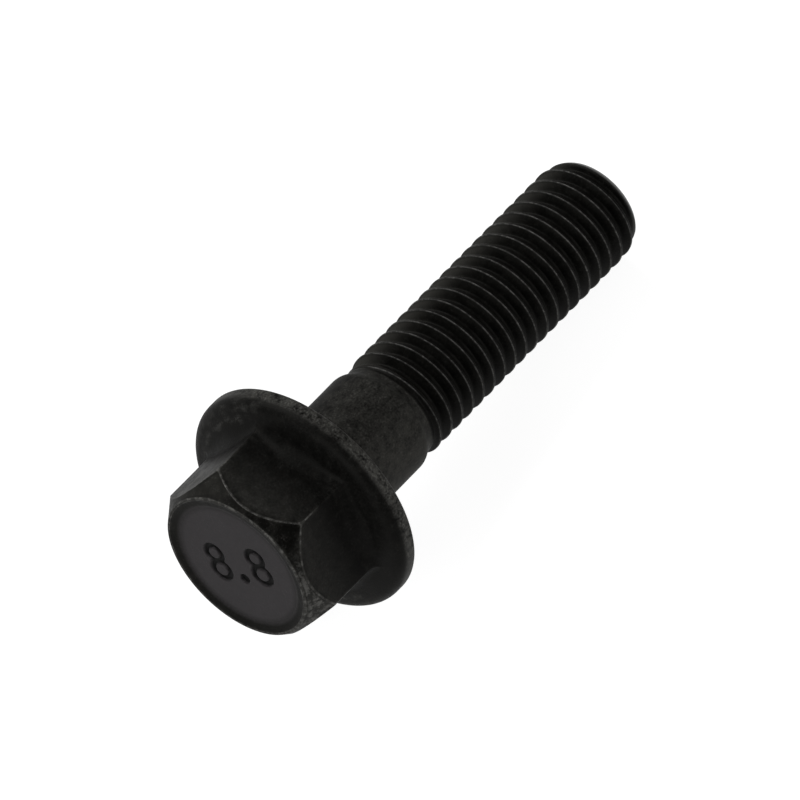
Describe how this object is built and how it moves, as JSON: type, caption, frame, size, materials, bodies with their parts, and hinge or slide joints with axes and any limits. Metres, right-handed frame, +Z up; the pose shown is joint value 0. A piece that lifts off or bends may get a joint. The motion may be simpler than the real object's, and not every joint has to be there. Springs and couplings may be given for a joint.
{
  "type": "hexagon flange bolt",
  "caption": "Black steel hexagon flange bolt with a dished head, a plain shank under the flange and a coarse right-hand thread, lying on its side.",
  "frame": {"origin": "centre of the bearing face under the flange", "axes": "+Z up from the table the bolt lies on, +X towards the head, seen from above along the bolt's axis"},
  "size_m": [0.0603, 0.0256, 0.0256],
  "materials": {
    "black_steel": "black oxide on forged and rolled steel, satin, with light wear on edges and crests"
  },
  "bodies": {
    "root": {"flange_bolt": "black_steel"}
  },
  "joints": []
}
